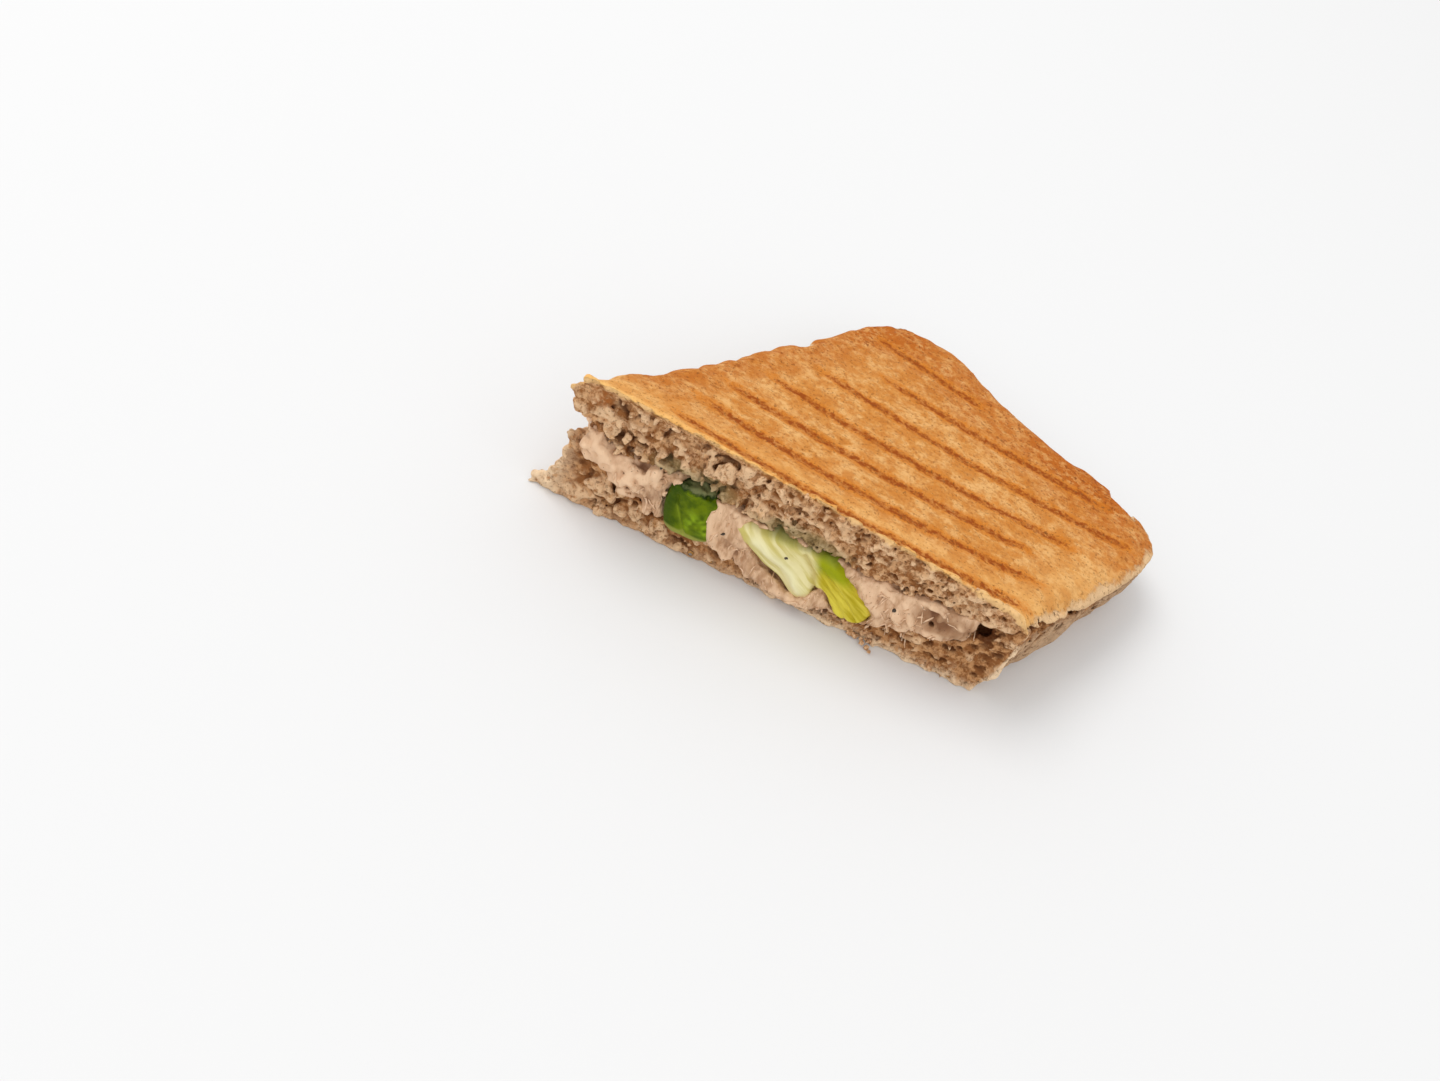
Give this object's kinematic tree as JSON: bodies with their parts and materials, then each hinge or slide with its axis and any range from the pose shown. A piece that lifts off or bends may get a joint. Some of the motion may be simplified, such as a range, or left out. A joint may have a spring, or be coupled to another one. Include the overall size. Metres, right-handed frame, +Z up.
{
  "type": "half tuna sandwich",
  "caption": "Half of a toasted wholemeal tuna and lettuce sandwich, cut slantwise, with grill marks on its crust and the filling showing at the cut.",
  "frame": {"origin": "on the surface it rests on, under the middle of its bounding box", "axes": "+X along the cut face from the pointed end to the blunt end, +Y from the cut face into the food, +Z up"},
  "size_m": [0.1482, 0.1066, 0.0388],
  "materials": {
    "bread": "matte",
    "toasted_bread": "matte",
    "tuna": "matte",
    "green_lettuce": "satin",
    "pale_lettuce": "satin"
  },
  "bodies": {
    "root": {"bottom_slice": "bread", "top_slice": "toasted_bread", "tuna_filling": "tuna", "lettuce_green": "green_lettuce", "lettuce_pale": "pale_lettuce"}
  },
  "joints": []
}
